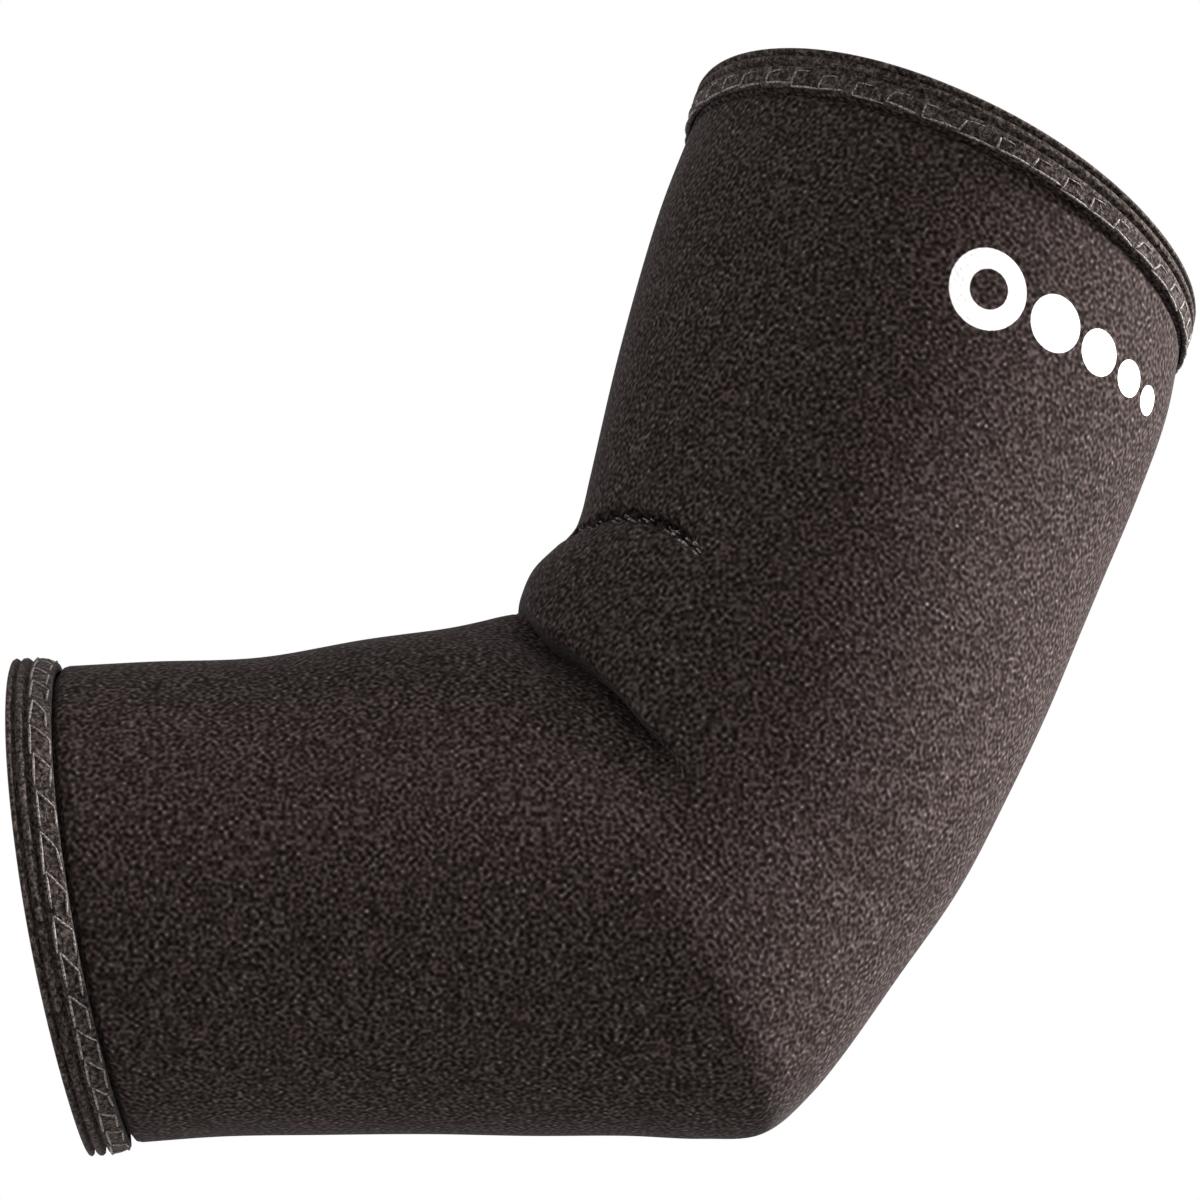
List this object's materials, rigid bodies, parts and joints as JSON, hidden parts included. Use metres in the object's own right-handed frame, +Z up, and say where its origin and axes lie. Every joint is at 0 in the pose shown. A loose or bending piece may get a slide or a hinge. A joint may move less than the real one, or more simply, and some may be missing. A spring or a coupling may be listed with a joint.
{
  "type": "elbow brace",
  "caption": "Pull-on padded elbow sleeve in its worn, bent form: an open tube of stretch sheet, creased at the crook, with a folded binding sewn round each end.",
  "frame": {"origin": "the hinge of the elbow: the point in the open hollow where the middle lines of the forearm end and the upper end cross. The sleeve is held there, by the elbow in it", "axes": "the bent sleeve lies in the XZ plane and is the same on both sides of it. The forearm end opens towards -X, the upper end opens up along +Z and leans towards +X, and Y runs across the sleeve"},
  "size_m": [0.2173, 0.095, 0.2032],
  "materials": {
    "neoprene_cloth": "matte black knit face over foam, brown-black in the light, with a fine mottled grain",
    "binding_tape": "matte black folded knit strip with a row of zigzag thread"
  },
  "bodies": {
    "root": {"sleeve": "neoprene_cloth", "forearm_binding": "binding_tape", "upper_binding": "binding_tape"}
  },
  "joints": []
}
